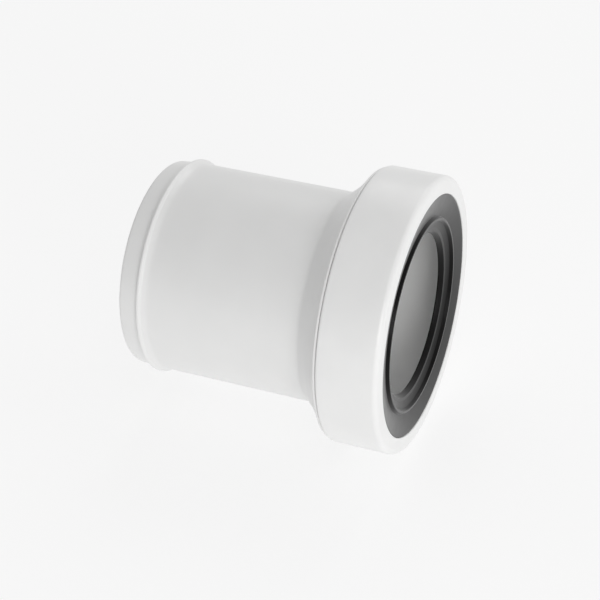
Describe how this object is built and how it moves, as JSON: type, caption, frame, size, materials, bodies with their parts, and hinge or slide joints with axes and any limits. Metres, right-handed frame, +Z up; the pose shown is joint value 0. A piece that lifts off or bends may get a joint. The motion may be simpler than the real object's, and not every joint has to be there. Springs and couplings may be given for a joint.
{
  "type": "push fit coupling",
  "caption": "Straight push fit pipe coupling: plain spigot with a locating rib, coned shoulder, and a wide socket whose clip-on cap holds a rubber lip seal.",
  "frame": {"origin": "on the coupling's axis, in the plane of the spigot's end face", "axes": "+X along the axis from the spigot towards the socket's mouth, +Z up"},
  "size_m": [0.1458, 0.144, 0.144],
  "materials": {
    "body_plastic": "moulded white polypropylene, satin gloss",
    "cap_plastic": "moulded white polypropylene, satin gloss",
    "seal_rubber": "smooth satin black rubber"
  },
  "bodies": {
    "root": {"body": "body_plastic", "retaining_cap": "cap_plastic", "lip_seal": "seal_rubber"}
  },
  "joints": []
}
